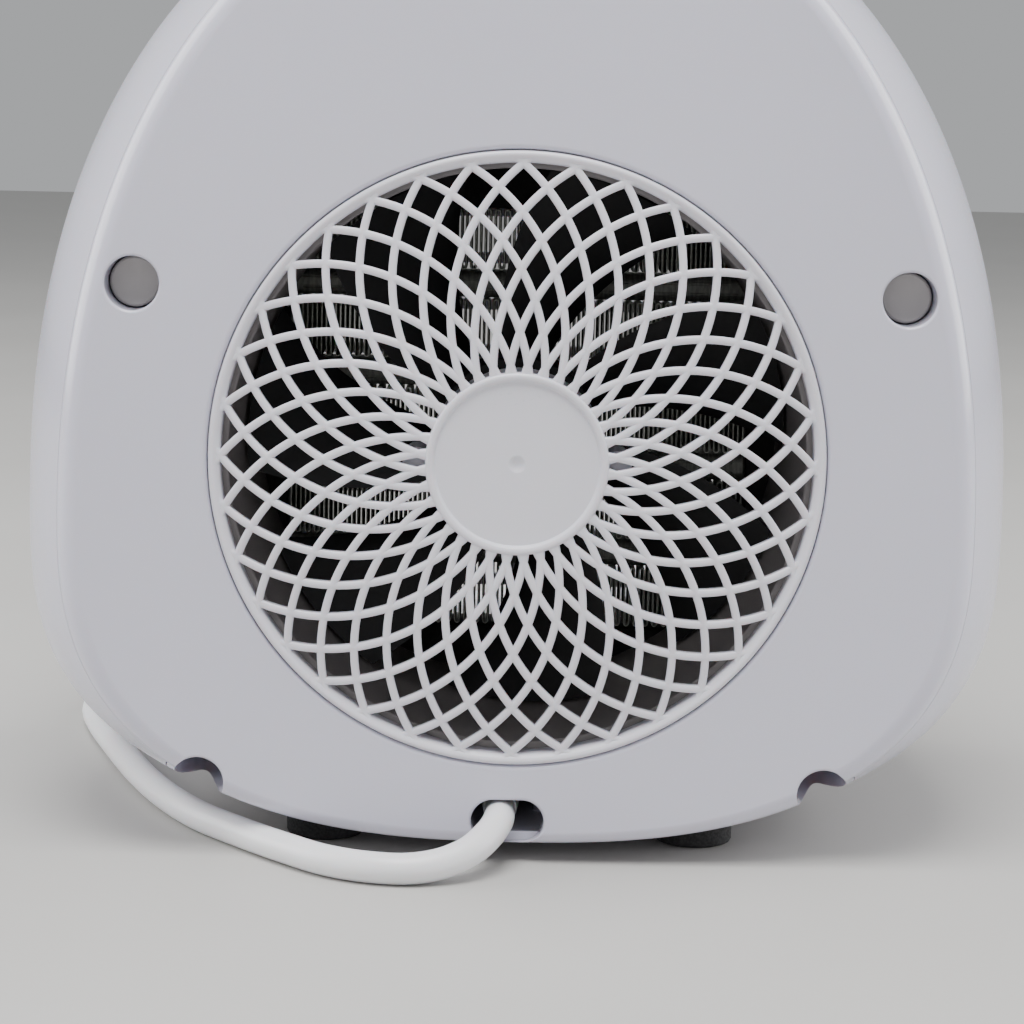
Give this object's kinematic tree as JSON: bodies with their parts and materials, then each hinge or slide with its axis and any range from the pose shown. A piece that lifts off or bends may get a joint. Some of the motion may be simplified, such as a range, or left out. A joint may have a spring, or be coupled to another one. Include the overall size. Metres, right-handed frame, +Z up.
{
  "type": "fan convector heater",
  "caption": "Small table-top fan heater: egg-shaped white housing with a round lattice inlet grille at the rear, an axial fan, a finned element and a mains cord.",
  "frame": {"origin": "on the table, under the middle of the body", "axes": "+Z up, +Y towards the rear inlet grille, -Y towards the warm air outlet, +X to the left as seen from the rear"},
  "size_m": [0.2324, 0.2815, 0.2319],
  "materials": {
    "white_gloss": "smooth gloss",
    "white_matte": "fine satin",
    "dark_plastic": "satin",
    "duct_plastic": "satin",
    "element_plastic": "satin",
    "rubber": "soft matt",
    "steel": "zinc plated",
    "brass": "plain",
    "aluminium": "thin rolled strip",
    "lens": "clear tinted",
    "cord_white": "smooth flexible sheath"
  },
  "bodies": {
    "housing": {"rear_cover": "white_gloss", "housing_shell": "white_gloss", "rear_grille": "white_gloss", "front_grille": "white_gloss", "control_panel": "white_matte", "fan_motor": "steel", "motor_retainer": "steel", "fan_duct": "duct_plastic", "element_frame": "element_plastic", "thermal_cutout": "dark_plastic", "mode_switch": "dark_plastic", "thermostat": "brass", "indicator_lens": "lens", "tip_switch": "dark_plastic", "terminal_block": "white_matte", "cord_clamp": "dark_plastic", "strain_relief": "cord_white", "mains_cord": "cord_white", "cord_coil": "cord_white", "cord_tie": "dark_plastic", "plug_body": "cord_white", "rubber_foot_1": "rubber", "heater_bar_1": "aluminium", "element_screw_1": "steel", "housing_screw_1": "steel", "rubber_foot_2": "rubber", "heater_bar_2": "aluminium", "element_screw_2": "steel", "housing_screw_2": "steel", "rubber_foot_3": "rubber", "heater_bar_3": "aluminium", "element_screw_3": "steel", "housing_screw_3": "steel", "rubber_foot_4": "rubber", "heater_bar_4": "aluminium", "element_screw_4": "steel", "housing_screw_4": "steel", "fin_bank_1": "aluminium", "fin_bank_2": "aluminium", "fin_bank_3": "aluminium", "fin_bank_4": "aluminium", "fin_bank_5": "aluminium", "well_plug_1": "white_matte", "motor_screw_1": "steel", "clamp_screw_1": "steel", "plug_pin_1": "brass", "well_plug_2": "white_matte", "motor_screw_2": "steel", "clamp_screw_2": "steel", "plug_pin_2": "brass"},
    "fan": {"impeller": "dark_plastic", "motor_shaft": "steel", "impeller_clip": "steel"},
    "mode_control": {"mode_knob": "dark_plastic", "mode_shaft": "steel"},
    "thermostat_control": {"thermostat_knob": "dark_plastic", "thermostat_shaft": "steel"},
    "plunger": {"tip_plunger": "dark_plastic"}
  },
  "joints": [
    {"name": "fan_spin", "type": "hinge", "parent": "housing", "child": "fan", "pos_m": [0, 0.022, 0.0914], "axis": [0, 1, 0], "continuous": true},
    {"name": "mode_turn", "type": "hinge", "parent": "housing", "child": "mode_control", "pos_m": [0.023, -0.006, 0.222], "axis": [0, 0, -1], "range_deg": [0, 135]},
    {"name": "thermostat_turn", "type": "hinge", "parent": "housing", "child": "thermostat_control", "pos_m": [-0.023, -0.006, 0.222], "axis": [0, 0, -1], "range_deg": [0, 270]},
    {"name": "plunger_drop", "type": "slide", "parent": "housing", "child": "plunger", "axis": [0, 0, 1], "range_m": [-0.003, 0], "stiffness_N_per_m": 80, "springref_m": -0.003}
  ]
}
